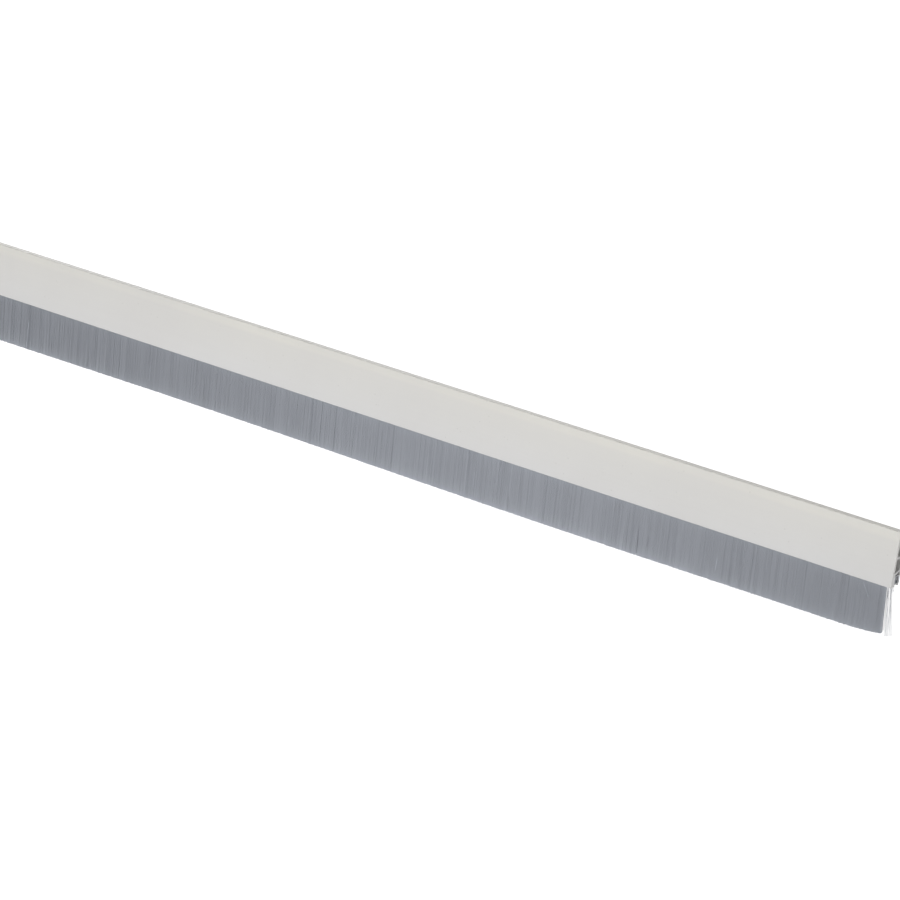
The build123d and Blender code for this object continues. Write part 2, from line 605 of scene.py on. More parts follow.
@dataclass(frozen=True)
class ClosedFoam:
    """White closed-cell foam of the tape, with small cells at its cut edges.

    Args:
        colour: the foam's own colour.
        painted_cell_shade: painted shade, the darker colour down in the cells.
        cells: size of the cells, as a texture scale.
        wall_start: distance from a cell's middle where its wall starts to rise.
        wall_full: distance where the wall is full.
        cell_share: how far the cells give the foam its tone.
        cloud_share: how far its clouds do.
        roughness: roughness of its skin.
    """

    colour: Colour = (0.78, 0.78, 0.76)
    painted_cell_shade: Colour = (0.55, 0.55, 0.53)
    cells: float = 4200.0
    wall_start: float = 0.1
    wall_full: float = 0.6
    cell_share: float = 0.7
    cloud_share: float = 0.3
    roughness: float = 0.85

    def build(self, effects: SharedEffects) -> bpy.types.Material:
        """Make the material.

        Args:
            effects: groups to place in it.

        Returns:
            The finished material.
        """
        finish = Finish("foam_tape", effects)
        build = finish.build
        cell = build.add("ShaderNodeTexVoronoi", {"Vector": finish.position, "Scale": self.cells})
        marks = finish.handling(cloud_scale=35.0, speck_scale=500.0)
        wall = build.remap(cell.outputs["Distance"], self.wall_start, self.wall_full, 0.0, 1.0)
        # Painted shade: the foam is darker down in its cells.
        tone = build.total(marks.outputs["Cloud"], self.cloud_share, wall, self.cell_share)
        finish.set(Base_Color=build.mix(tone, self.painted_cell_shade, self.colour), Roughness=self.roughness)
        finish.bump(wall, strength=0.5, distance=0.06 * MM)
        return finish.material


@dataclass(frozen=True)
class WaxedPaper:
    """Waxed yellow paper of the release liner, with fibres, soft clouds and specks.

    Args:
        colour: the paper's own colour.
        fibre: colour of its darker fibres.
        fibre_share: how far the fibres give the paper its tone.
        cloud_share: how far its clouds do.
        speck_share: strength of the specks.
        waxed: roughness where the wax is thickest.
        bare: roughness where it is thinnest.
    """

    colour: Colour = (0.74, 0.68, 0.47)
    fibre: Colour = (0.62, 0.55, 0.35)
    fibre_share: float = 0.5
    cloud_share: float = 0.4
    speck_share: float = 0.3
    waxed: float = 0.38
    bare: float = 0.55

    def build(self, effects: SharedEffects) -> bpy.types.Material:
        """Make the material.

        Args:
            effects: groups to place in it.

        Returns:
            The finished material.
        """
        finish = Finish("liner_paper", effects)
        build = finish.build
        fibres = finish.streaks(scale=(260.0, 900.0, 1300.0), fineness=2.6)
        marks = finish.handling(cloud_scale=22.0, speck_scale=640.0)
        tone = build.total(
            fibres.outputs["Fine"], self.fibre_share, marks.outputs["Cloud"], self.cloud_share
        )
        skin = build.mix(tone, self.colour, self.fibre)
        finish.set(
            Base_Color=finish.specked(marks, self.speck_share, skin, self.fibre),
            Roughness=build.between(marks.outputs["Cloud"], self.waxed, self.bare),
        )
        finish.bump(fibres.outputs["Height"], strength=0.25, distance=0.03 * MM)
        return finish.material


@dataclass(frozen=True)
class Corner:
    """A corner of a section.

    Args:
        depth: its Y.
        height: its Z.
        radius: radius that rounds it, or 0 for a sharp corner.
    """

    depth: float
    height: float
    radius: float = 0.0


def rounded_loop(corners: Sequence[Corner], steps: int = 8) -> list[Point]:
    """Closed outline of a section, with an arc at each rounded corner.

    Args:
        corners: the corners in order.
        steps: straight pieces in each arc.

    Returns:
        The outline's points.
    """
    points: list[Point] = []
    for index, corner in enumerate(corners):
        here = Vector((corner.depth, corner.height))
        if corner.radius == 0.0:
            points.append(tuple(here))
            continue
        before, after = corners[index - 1], corners[(index + 1) % len(corners)]
        back = (Vector((before.depth, before.height)) - here).normalized()
        ahead = (Vector((after.depth, after.height)) - here).normalized()
        half = back.angle(ahead) / 2
        centre = here + (back + ahead).normalized() * (corner.radius / math.sin(half))
        start = here + back * (corner.radius / math.tan(half)) - centre
        end = here + ahead * (corner.radius / math.tan(half)) - centre
        turn = start.angle_signed(end)
        for step in range(steps + 1):
            angle = -turn * step / steps
            spoke = Matrix.Rotation(angle, 2) @ start
            points.append(tuple(centre + spoke))
    return points


def round_outline(box: NodeBox, radius: float, sides: int) -> list[Point]:
    """Round outline about the middle of a box.

    Args:
        box: the box.
        radius: the outline's radius.
        sides: its number of sides.

    Returns:
        The outline's points.
    """
    centre = (box.low + box.high) / 2
    return [
        (centre.y + radius * math.cos(angle), centre.z + radius * math.sin(angle))
        for angle in (math.tau * step / sides for step in range(sides))
    ]


def drawn_in(loop: Sequence[Point], distance: float, least_cosine: float = 0.5) -> list[Point]:
    """A closed outline moved inwards, or outwards for a distance below 0.

    Args:
        loop: the outline's points.
        distance: how far each side moves.
        least_cosine: holds back how far a very sharp corner moves.

    Returns:
        As many points as the outline has.
    """
    area = sum(a[0] * b[1] - b[0] * a[1] for a, b in zip(loop, [*loop[1:], loop[0]]))
    side = 1.0 if area > 0 else -1.0
    moved: list[Point] = []
    for index, point in enumerate(loop):
        here = Vector(point)
        first = (here - Vector(loop[index - 1])).normalized()
        second = (Vector(loop[(index + 1) % len(loop)]) - here).normalized()
        normal = Vector((-first.y - second.y, first.x + second.x)).normalized() * side
        reach = distance / max(least_cosine, normal.dot(Vector((-first.y, first.x)) * side))
        moved.append(tuple(here + normal * reach))
    return moved


@dataclass
class Extrusion:
    """A section carried along the strip, with its cut edges just broken.

    Args:
        name: the piece's name.
        outer: the section's outline.
        holes: outlines of its hollows.
        start: X of its first end.
        end: X of its other end.
        spans: lengths that it is divided into.
        edge_break: how far the cut edges are taken back.
    """

    name: str
    outer: list[Point]
    start: float
    end: float
    holes: list[list[Point]] = field(default_factory=list)
    spans: int = 40
    edge_break: float = 0.06 * MM

    def stations(self) -> list[tuple[float, float]]:
        """Places along the strip, each with how far the section is drawn in there.

        Returns:
            Pairs of an X and an inset.
        """
        inner_start, inner_end = self.start + self.edge_break, self.end - self.edge_break
        step = (inner_end - inner_start) / self.spans
        middle = [(inner_start + step * index, 0.0) for index in range(self.spans + 1)]
        return [(self.start, self.edge_break), *middle, (self.end, self.edge_break)]

    def make(self) -> bpy.types.Object:
        """Build the mesh.

        Returns:
            The new object, at the origin.
        """
        shape = bmesh.new()
        rings: list[list[list[bmesh.types.BMVert]]] = []
        for place, inset in self.stations():
            loops = [drawn_in(self.outer, inset), *(drawn_in(hole, -inset) for hole in self.holes)]
            rings.append([[shape.verts.new((place, *point)) for point in loop] for loop in loops])
        for near, far in zip(rings, rings[1:]):
            for first, second in zip(near, far):
                for index in range(len(first)):
                    after = (index + 1) % len(first)
                    shape.faces.new((first[index], first[after], second[after], second[index]))
        for ring in (rings[0], rings[-1]):
            corners = [vert for loop in ring for vert in loop]
            for triangle in tessellate_polygon([[vert.co for vert in loop] for loop in ring]):
                shape.faces.new([corners[index] for index in triangle])
        bmesh.ops.recalc_face_normals(shape, faces=shape.faces)
        return finished_object(self.name, shape)


def finished_object(name: str, shape: bmesh.types.BMesh, sharp_angle: float = 28.0) -> bpy.types.Object:
    """Turn a bmesh into a linked object with smooth rounds and sharp edges.

    Args:
        name: the object's name.
        shape: the bmesh, which is freed.
        sharp_angle: edges that turn by more than this many degrees stay sharp.

    Returns:
        The new object.
    """
    mesh = bpy.data.meshes.new(name)
    shape.to_mesh(mesh)
    shape.free()
    mesh.polygons.foreach_set("use_smooth", [True] * len(mesh.polygons))
    mesh.set_sharp_from_angle(angle=math.radians(sharp_angle))
    made = bpy.data.objects.new(name, mesh)
    bpy.context.scene.collection.objects.link(made)
    return made


def shade_flat(mesh: bpy.types.Mesh) -> None:
    """Shade every face flat, so that a dense row of strands looks even from a step away."""
    mesh.polygons.foreach_set("use_smooth", [False] * len(mesh.polygons))


def dress(piece: bpy.types.Object, material: bpy.types.Material, node: str) -> None:
    """Give a piece its material, body and slot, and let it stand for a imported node.

    Args:
        piece: the finished piece.
        material: its material.
        node: the node it replaces.
    """
    piece.data.materials.clear()
    piece.data.materials.append(material)
    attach(piece, BODY)
    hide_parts(node)
    LOG.info("%s: %d faces, stands for %s", piece.name, len(piece.data.polygons), node)


@dataclass
class CarrierProfile:
    """The hollow PVC extrusion that holds the brush.

    The back is flat and upright, and the front leans back towards the top.
    """

    box: NodeBox
    brush_middle: float
    top_depth: float = 3.6 * MM
    depth: float = 6.4 * MM
    channel_front_wall: float = 2.7 * MM
    channel_width: float = 3.1 * MM
    front_wall: float = 1.2 * MM
    back_wall: float = 0.9 * MM
    top_wall: float = 1.0 * MM
    rib_wall: float = 0.8 * MM
    lip_thickness: float = 0.9 * MM
    slot_width: float = 2.3 * MM
    channel_height: float = 3.9 * MM
    roof_rise: float = 1.2 * MM
    lower_chamber_height: float = 4.8 * MM
    heel_depth: float = 0.6 * MM
    heel_height: float = 1.4 * MM
    front_lip_radius: float = 0.4 * MM
    front_top_radius: float = 0.5 * MM
    back_top_radius: float = 1.0 * MM
    chamber_radius: float = 0.35 * MM
    lip_edge_radius: float = 0.12 * MM
    spans: int = 60

    @property
    def back(self) -> float:
        """Y of the flat back."""
        return self.box.high.y

    @property
    def front(self) -> float:
        """Y of the front's lower corner, before it is rounded."""
        return self.back - self.depth

    @property
    def bottom(self) -> float:
        """Z of the lower edge."""
        return self.box.low.z

    @property
    def top(self) -> float:
        """Z of the upper edge."""
        return self.box.high.z

    def inner_front(self, height: float) -> float:
        """Y of the inner side of the front wall at a height.

        Args:
            height: Z of the place.

        Returns:
            The Y there.
        """
        lean = (self.depth - self.top_depth) / (self.top - self.bottom)
        return self.front + lean * (height - self.bottom) + self.front_wall

    def outline(self) -> list[Point]:
        """Outer outline, with the brush channel open at the bottom.

        Returns:
            The outline's points.
        """
        lip = self.bottom + self.lip_thickness
        roof = lip + self.channel_height
        channel_front = self.brush_middle - self.channel_width / 2
        channel_back = self.brush_middle + self.channel_width / 2
        slot_front = self.brush_middle - self.slot_width / 2
        slot_back = self.brush_middle + self.slot_width / 2
        edge = self.lip_edge_radius
        return rounded_loop([
            Corner(self.front, self.bottom, self.front_lip_radius),
            Corner(self.back - self.top_depth, self.top, self.front_top_radius),
            Corner(self.back, self.top, self.back_top_radius),
            Corner(self.back, self.bottom + self.heel_height, edge),
            Corner(self.back - self.heel_depth, self.bottom, edge),
            Corner(slot_back, self.bottom, edge),
            Corner(slot_back, lip, edge),
            Corner(channel_back, lip, edge),
            Corner(channel_back, roof + self.roof_rise, edge),
            Corner(channel_front, roof, edge),
            Corner(channel_front, lip, edge),
            Corner(slot_front, lip, edge),
            Corner(slot_front, self.bottom, edge),
        ])

    def chambers(self) -> list[list[Point]]:
        """Outlines of the two closed chambers.

        Returns:
            The points of each.
        """
        roof = self.bottom + self.lip_thickness + self.channel_height + self.rib_wall
        rib_bottom = roof + self.roof_rise + self.lower_chamber_height
        rib_top = rib_bottom + self.rib_wall
        back = self.back - self.back_wall
        channel_front = self.front + self.channel_front_wall
        rise = self.roof_rise * (back - channel_front) / self.channel_width
        loops = []
        for low_front, low_back, high in (
            (roof, roof + rise, rib_bottom),
            (rib_top, rib_top, self.top - self.top_wall),
        ):
            loops.append(rounded_loop([
                Corner(self.inner_front(low_front), low_front, self.chamber_radius),
                Corner(self.inner_front(high), high, self.chamber_radius),
                Corner(back, high, self.chamber_radius),
                Corner(back, low_back, self.chamber_radius),
            ]))
        return loops

    def build(self, material: bpy.types.Material) -> None:
        """Make the carrier and let it stand for its node.

        Args:
            material: the carrier's material.
        """
        low, high = self.box.low.x, self.box.high.x
        piece = Extrusion("carrier_profile", self.outline(), low, high, self.chambers(), self.spans).make()
        dress(piece, material, "carrier")


@dataclass
class SteelSpine:
    """The folded steel channel with its pinched mouth, and the wire inside it."""

    box: NodeBox
    wire_box: NodeBox
    wall: float = 0.4 * MM
    pinch: float = 0.2 * MM
    pinch_height: float = 1.2 * MM
    corner_radius: float = 0.9 * MM
    edge_radius: float = 0.08 * MM
    wire_sides: int = 28

    @property
    def middle(self) -> float:
        """Y of the brush's middle."""
        return (self.box.low.y + self.box.high.y) / 2

    def outline(self) -> list[Point]:
        """Outline of the folded strip: up its outer side, over the top and back inside.

        Returns:
            The outline's points.
        """
        half = (self.box.high.y - self.box.low.y) / 2
        mouth = half - self.pinch
        low, shoulder, top = self.box.low.z, self.box.low.z + self.pinch_height, self.box.high.z
        wall, edge = self.wall, self.edge_radius
        inner_radius = self.corner_radius - wall
        left = [
            Corner(self.middle - mouth, low, edge),
            Corner(self.middle - half, shoulder, self.corner_radius),
            Corner(self.middle - half, top, self.corner_radius),
        ]
        right = [
            Corner(self.middle + half, top, self.corner_radius),
            Corner(self.middle + half, shoulder, self.corner_radius),
            Corner(self.middle + mouth, low, edge),
        ]
        inside = [
            Corner(self.middle + mouth - wall, low, edge),
            Corner(self.middle + half - wall, shoulder, inner_radius),
            Corner(self.middle + half - wall, top - wall, inner_radius),
            Corner(self.middle - half + wall, top - wall, inner_radius),
            Corner(self.middle - half + wall, shoulder, inner_radius),
            Corner(self.middle - mouth + wall, low, edge),
        ]
        return rounded_loop([*left, *right, *inside], steps=6)

    def build(self, steel: bpy.types.Material, wire: bpy.types.Material) -> None:
        """Make the spine and the wire.

        Args:
            steel: the spine's material.
            wire: the wire's material.
        """
        spine = Extrusion("spine_channel", self.outline(), self.box.low.x, self.box.high.x).make()
        dress(spine, steel, "brush_spine")
        radius = (self.wire_box.high.z - self.wire_box.low.z) / 2
        outline = round_outline(self.wire_box, radius, self.wire_sides)
        core = Extrusion("spine_wire", outline, self.wire_box.low.x, self.wire_box.high.x).make()
        dress(core, wire, "core_wire")


class StrandRow(Enum):
    """Layers of the brush, by the share of its thickness where their roots lie."""

    FRONT = ("strands_front", -1.0, -0.9, 24000, 0.2 * MM)
    INNER_FRONT = ("strands_inner_front", -0.9, 0.0, 23000, 0.55 * MM)
    INNER_BACK = ("strands_inner_back", 0.0, 0.9, 23000, 1.15 * MM)
    BACK = ("strands_back", 0.9, 1.0, 24000, 1.75 * MM)

    def __init__(self, piece_name: str, low: float, high: float, count: int, end_gap: float) -> None:
        """Keep what makes up a layer.

        Args:
            piece_name: name of the layer's piece.
            low: where the layer starts, from -1 at the brush's front to 1 at its back.
            high: where the layer ends.
            count: its number of strands.
            end_gap: how far before the brush's ends the layer stops.
        """
        self.piece_name = piece_name
        self.low = low
        self.high = high
        self.count = count
        self.end_gap = end_gap


@dataclass(frozen=True)
class EndTuft:
    """A few loose strands that are left between the last whole tuft and the cut end.

    Args:
        name: the tuft's name.
        root: how far inside the cut end the middle of its roots lies.
        lean: how far its tips lean outwards.
        count: its number of strands.
        width: how far its roots lie apart along the strip.
        length: its length as a share of a whole strand's.
    """

    name: str
    root: float
    lean: float
    count: int
    width: float
    length: float


@dataclass(frozen=True)
class CutEnd:
    """A cut end of the strip, where the last whole tufts are gone.

    Args:
        side: its side, for the names of its pieces.
        place: its X.
        outwards: 1 where it looks along X, and -1 where it looks against it.
        tufts: the loose tufts that are left there.
    """

    side: str
    place: float
    outwards: float
    tufts: tuple[EndTuft, ...]


def strand_tree() -> bpy.types.GeometryNodeTree:
    """Tree that grows a row of hanging strands, each a thin tapered filament.

    One of its three sides looks straight out of the brush, to the front or to the back.
    Each strand leans by broad and fine waves along the row and by chance, spreads away from the
    brush's middle, is cut a little short by a slow wave, and carries a tone for its material. At
    the row's ends, where the strands are looser, it is shorter, leans outwards and is painted
    lighter, for the light that comes through the loose ends.

    Returns:
        A geometry tree with named inputs for its sizes.
    """
    tree = bpy.data.node_groups.new("strand_row", "GeometryNodeTree")
    build = Trees(tree)
    build.socket("Geometry", "NodeSocketGeometry")
    build.socket("Strand Count", "NodeSocketInt", 100)
    build.socket("Bends", "NodeSocketInt", 2)
    for name, default in (
        ("Row Start", -0.5), ("Row Length", 1.0), ("Root Height", 0.0), ("Drop", 0.02), ("Middle", 0.0),
        ("Depth Low", -0.001), ("Depth High", 0.001), ("Spread", 0.8), ("Strand Radius", 0.0001),
        ("Lean Along", 0.0), ("Lean Broad", 0.0), ("Lean Fine", 0.0), ("Lean Random", 0.0),
        ("Lean Power", 1.25), ("Shortest", 0.98), ("Longest", 1.0),
        ("Trim Wave", 0.0), ("Trim Period", 0.33), ("Trim Peak", 0.33),
        ("Tone Low", 0.0), ("Tone High", 1.0),
        ("Tone Wave", 0.0), ("Tone Period", 0.5), ("Tone Peak", 0.27),
        ("End Tone", 0.0), ("End Width", 0.001),
        ("End Short", 0.0), ("End Lean", 0.0), ("Short Width", 0.02),
    ):
        build.socket(name, "NodeSocketFloat", default)
    build.socket("Seed", "NodeSocketInt", 1)
    build.socket("Material", "NodeSocketMaterial")
    build.socket("Geometry", "NodeSocketGeometry", output=True)
    entry = build.add("NodeGroupInput").outputs

    def chance(low: Value, high: Value, shift: int) -> Socket:
        """Draw a random value for each strand.

        Args:
            low: the smallest value.
            high: the largest value.
            shift: what is added to the seed, so that no two draws are alike.

        Returns:
            The value.
        """
        node = build.add("FunctionNodeRandomValue", data_type="FLOAT")
        floats = [socket for socket in node.inputs if socket.type == "VALUE"]
        for socket, value in zip(floats, (low, high)):
            build.give(socket, value)
        build.feed(node, "Seed", build.maths("ADD", entry["Seed"], float(shift)))
        return first_of(node.outputs, "VALUE")

    def wave(scale: float, shift: float) -> Socket:
        """Make a smooth value from about -1 to 1 that changes along the row.

        Args:
            scale: its changes in a metre.
            shift: what is added to the seed, so that no two waves are alike.

        Returns:
            The value.
        """
        along = build.maths("MULTIPLY_ADD", where[0], scale, build.maths("ADD", entry["Seed"], shift))
        node = build.add(
            "ShaderNodeTexNoise", {"W": along, "Scale": 1.0, "Detail": 1.0}, noise_dimensions="1D"
        )
        return build.maths("MULTIPLY_ADD", node.outputs[0], 4.0, -2.0)

    def swell(name: str) -> Socket:
        """Make a cosine along the row.

        Args:
            name: what its Peak and Period are called by.

        Returns:
            Its value, from -1 to 1.
        """
        away = build.maths("SUBTRACT", where[0], entry[name + " Peak"])
        turns = build.maths("DIVIDE", away, entry[name + " Period"])
        return build.maths("COSINE", build.maths("MULTIPLY", turns, math.tau))

    index = build.add("GeometryNodeInputIndex").outputs[0]
    share = build.maths("DIVIDE", build.maths("ADD", index, chance(0.0, 1.0, 1)), entry["Strand Count"])
    place = build.maths("MULTIPLY_ADD", share, entry["Row Length"], entry["Row Start"])
    depth = chance(entry["Depth Low"], entry["Depth High"], 2)
    root = build.vector(place, build.maths("ADD", depth, entry["Middle"]), entry["Root Height"])
    points = build.add("GeometryNodePoints", {"Count": entry["Strand Count"], "Position": root})

    where = build.parts(build.add("GeometryNodeInputPosition").outputs[0])
    broad = build.maths("MULTIPLY", wave(BROAD_WAVES, 3.0), entry["Lean Broad"])
    fine = build.maths("MULTIPLY", wave(FINE_WAVES, 7.0), entry["Lean Fine"])
    loose = build.maths("MULTIPLY", chance(-1.0, 1.0, 5), entry["Lean Random"])
    lean = build.maths(
        "ADD", build.maths("ADD", broad, fine), build.maths("ADD", loose, entry["Lean Along"])
    )
    from_middle = build.maths("SUBTRACT", where[1], entry["Middle"])
    spread = build.maths("MULTIPLY", from_middle, entry["Spread"])
    uneven = build.maths("MULTIPLY_ADD", swell("Trim"), 0.5, -0.5)
    own_tone = chance(entry["Tone Low"], entry["Tone High"], 8)
    tone = build.maths("MULTIPLY_ADD", wave(TONE_WAVES, 9.0), TONE_WAVE_SHARE, own_tone)
    # Painted light: a slow swell along the row makes the strands lighter about one place, as the lamps'
    # light falls along the strip.
    tone = build.maths("MULTIPLY_ADD", swell("Tone"), entry["Tone Wave"], tone)
    half = build.maths("MULTIPLY", entry["Row Length"], 0.5)
    from_centre = build.maths("SUBTRACT", where[0], build.maths("ADD", entry["Row Start"], half))
    from_end = build.maths("SUBTRACT", build.maths("ABSOLUTE", half), build.maths("ABSOLUTE", from_centre))

    def near_end(width: str, power: float) -> Socket:
        """Make a value that grows from 0 to 1 towards the row's ends.

        Args:
            width: the input that says how wide the ends are.
            power: how late it grows.

        Returns:
            The value.
        """
        closeness = build.remap(build.maths("DIVIDE", from_end, entry[width]), 0.0, 1.0, 1.0, 0.0)
        return build.maths("POWER", closeness, power)

    # Painted light: strands are made paler towards the row's ends, for the light through the loose ends.
    tone = build.maths("MULTIPLY_ADD", near_end("End Width", PALE_POWER), entry["End Tone"], tone)
    own_length = chance(entry["Shortest"], entry["Longest"], 6)
    length = build.maths("MULTIPLY_ADD", uneven, entry["Trim Wave"], own_length)
    near = near_end("Short Width", SHORT_POWER)
    length = build.maths("SUBTRACT", length, build.maths("MULTIPLY", near, entry["End Short"]))
    splay = build.maths("MULTIPLY", near, build.maths("SIGN", from_centre))
    lean = build.maths("MULTIPLY_ADD", splay, entry["End Lean"], lean)
    bend = build.vector(lean, spread, 0.0)

    strand = build.add(
        "GeometryNodeMeshCone",
        {
            "Vertices": 3,
            "Side Segments": entry["Bends"],
            "Fill Segments": 1,
            "Radius Top": entry["Strand Radius"],
            "Radius Bottom": build.maths("MULTIPLY", entry["Strand Radius"], TIP_TAPER),
            "Depth": 1.0,
        },
        fill_type="NGON",
    )
    hung = build.add(
        "GeometryNodeTransform", {"Geometry": strand.outputs[0], "Translation": (0.0, 0.0, -1.0)}
    )
    outwards = build.maths("MULTIPLY", build.maths("SIGN", from_middle), -math.pi / 2)
    turn = build.maths("ADD", outwards, chance(-OWN_TURN, OWN_TURN, 4))
    grown = build.add(
        "GeometryNodeInstanceOnPoints",
        {
            "Points": points.outputs[0],
            "Instance": hung.outputs[0],
            "Rotation": build.vector(0.0, 0.0, turn),
            "Scale": build.vector(1.0, 1.0, build.maths("MULTIPLY", entry["Drop"], length)),
        },
    )

    def keep(grown_so_far: Socket, name: str, data_type: str, kind: str, value: Socket) -> Socket:
        """Store a value on each strand.

        Args:
            grown_so_far: the strands.
            name: the attribute's name.
            data_type: the attribute's type.
            kind: type of the socket that takes the value.
            value: the value.

        Returns:
            The strands with it.
        """
        node = build.add(
            "GeometryNodeStoreNamedAttribute",
            {"Geometry": grown_so_far, "Name": name},
            data_type=data_type,
            domain="INSTANCE",
        )
        build.give(first_of(node.inputs, kind, "Value"), value)
        return node.outputs[0]

    toned = keep(grown.outputs[0], "tone", "FLOAT", "VALUE", tone)
    bent = keep(toned, "bend", "FLOAT_VECTOR", "VECTOR", bend)
    real = build.add("GeometryNodeRealizeInstances", {"Geometry": bent})

    height = build.parts(build.add("GeometryNodeInputPosition").outputs[0])[2]
    fallen = build.maths("DIVIDE", build.maths("SUBTRACT", entry["Root Height"], height), entry["Drop"])
    stored = build.add("GeometryNodeInputNamedAttribute", {"Name": "bend"}, data_type="FLOAT_VECTOR")
    reach = build.maths("POWER", build.maths("MAXIMUM", fallen, 0.0), entry["Lean Power"])
    offset = build.add(
        "ShaderNodeVectorMath", {0: first_of(stored.outputs, "VECTOR"), "Scale": reach}, operation="SCALE"
    )
    moved = build.add(
        "GeometryNodeSetPosition", {"Geometry": real.outputs[0], "Offset": offset.outputs[0]}
    )
    painted = build.add(
        "GeometryNodeSetMaterial", {"Geometry": moved.outputs[0], "Material": entry["Material"]}
    )
    build.add("NodeGroupOutput", {"Geometry": painted.outputs[0]})
    return tree


@dataclass
class BristleBrush:
    """The bristles: layers of hanging strands, their fold inside the spine, and loose strands.

    The fields are for all rows first, then for each kind of row. A pair of tones or lengths is
    the lowest and the highest that a strand has, and a pair of depths is in shares of the
    brush's half thickness at its root. A seed is the first of its kind of row.
    """

    box: NodeBox
    wire_box: NodeBox
    middle: float
    carrier_bottom: float
    tree: bpy.types.GeometryNodeTree = field(default_factory=strand_tree)
    root_half: float = 0.75 * MM
    tip_half: float = 1.45 * MM
    root_lift: float = 2.4 * MM
    strand_radius: float = 0.085 * MM
    uneven_tips: float = 0.52 * MM
    trim_wave: float = 0.029
    trim_period: float = 0.36
    trim_peak: float = 0.33
    end_recess: float = 3.4 * MM
    end_short: float = 0.055
    end_lean: float = 0.6 * MM
    end_short_width: float = 28.0 * MM
    painted_end_light: float = 0.5
    painted_end_light_width: float = 1.7 * MM
    layer_lean_broad: float = 0.05 * MM
    layer_lean_fine: float = 0.01 * MM
    layer_loose: float = 0.09 * MM
    layer_shortest: float = 0.97
    layer_tones: Pair = (0.54, 0.585)
    layer_seed: int = 11
    layer_seed_step: int = 20
    painted_light_swell: float = 0.15
    light_swell_period: float = 0.58
    light_swell_peak: float = 0.31
    stray_count: int = 60
    stray_lean: float = 1.3 * MM
    stray_radius: float = 0.13 * MM
    stray_spread: float = 2.9
    stray_depths: Pair = (0.42, 0.58)
    stray_shortest: float = 0.75
    stray_tones: Pair = (0.0, 1.6)
    stray_seeds: tuple[int, int] = (301, 351)
    crossing_count: int = 2
    crossing_root: float = 482.7 * MM
    crossing_width: float = 0.3 * MM
    crossing_drop: float = 10.0 * MM
    crossing_lean: float = 6.2 * MM
    crossing_spread: float = 2.7
    crossing_depths: Pair = (-0.44, -0.40)
    crossing_tones: Pair = (1.6, 1.8)
    crossing_seed: int = 391
    fringe_count: int = 10
    fringe_thickness: float = 0.8
    fringe_overlap: float = 0.3 * MM
    fringe_width: float = 1.2 * MM
    fringe_lean: float = 0.5 * MM
    fringe_loose: float = 0.15 * MM
    fringe_lengths: Pair = (0.89, 0.935)
    fringe_tones: Pair = (0.0, 1.0)
    fringe_seed: int = 371
    stub_count: int = 32
    stub_drop: float = 4.6 * MM
    stub_margin: float = 0.4 * MM
    stub_lean: float = 0.2 * MM
    stub_loose: float = 0.3 * MM
    stub_shortest: float = 0.35
    stub_tones: Pair = (0.6, 1.4)
    stub_seed: int = 389
    tuft_radius: float = 0.045 * MM
    tuft_loose: float = 0.2 * MM
    tuft_evenness: float = 0.98
    tuft_tones: Pair = (0.25, 0.75)
    tuft_seed: int = 401
    tuft_seed_step: int = 10
    right_tufts: tuple[EndTuft, ...] = (
        EndTuft("near", 3.35 * MM, 1.5 * MM, 8, 0.4 * MM, 0.996),
        EndTuft("near_fanned", 3.3 * MM, 2.45 * MM, 6, 0.5 * MM, 0.984),
        EndTuft("outer_fanned", 2.25 * MM, 1.75 * MM, 5, 0.8 * MM, 0.976),
        EndTuft("between", 2.25 * MM, 2.45 * MM, 4, 0.8 * MM, 0.968),
        EndTuft("outer", 2.25 * MM, 3.2 * MM, 8, 0.9 * MM, 0.96),
    )
    left_tufts: tuple[EndTuft, ...] = (
        EndTuft("near", 3.4 * MM, 0.9 * MM, 6, 0.6 * MM, 0.98),
        EndTuft("outer", 1.3 * MM, 0.6 * MM, 4, 0.6 * MM, 0.95),
    )
    fold_half: float = 1.0 * MM
    fold_overlap: float = 0.2 * MM
    fold_mouth_share: float = 0.9
    fold_shoulder: float = 0.3 * MM
    fold_radius: float = 0.35 * MM
    fold_tone: float = 0.4
    hole_radius: float = 0.48 * MM
    hole_sides: int = 24

    @property
    def start(self) -> float:
        """X where the whole tufts start."""
        return self.box.low.x + self.end_recess

    @property
    def length(self) -> float:
        """Length of the strip that has whole tufts."""
        return self.box.high.x - self.box.low.x - 2 * self.end_recess

    @property
    def inner_half(self) -> float:
        """Half the brush's thickness between the middles of its outermost roots."""
        return self.root_half - self.strand_radius

    def row(self, name: str, material: bpy.types.Material, **sizes: Union[Value, Pair]) -> None:
        """Grow one row of strands and turn it into a plain mesh.

        Args:
            name: the piece's name.
            material: the strands' material.
            sizes: the tree's inputs, by name with an underscore for a space, where a pair for
                Tones, Depths or Lengths stands for two inputs.
        """
        for pair, low, high in (
            ("Tones", "Tone_Low", "Tone_High"),
            ("Depths", "Depth_Low", "Depth_High"),
            ("Lengths", "Shortest", "Longest"),
        ):
            if pair in sizes:
                sizes[low], sizes[high] = sizes.pop(pair)
        holder = bpy.data.objects.new(name + "_holder", bpy.data.meshes.new(name + "_holder"))
        bpy.context.scene.collection.objects.link(holder)
        modifier = holder.modifiers.new("strands", "NODES")
        modifier.node_group = self.tree
        known = {
            item.name: item.identifier
            for item in self.tree.interface.items_tree
            if item.item_type == "SOCKET" and item.in_out == "INPUT"
        }
        for key, value in {**self.common(), **sizes, "Material": material}.items():
            modifier[known[key.replace("_", " ")]] = value
        grown = holder.evaluated_get(bpy.context.evaluated_depsgraph_get())
        mesh = bpy.data.meshes.new_from_object(grown)
        piece = bpy.data.objects.new(name, mesh)
        bpy.context.scene.collection.objects.link(piece)
        bpy.data.objects.remove(holder)
        shade_flat(mesh)
        dress(piece, material, "bristles")

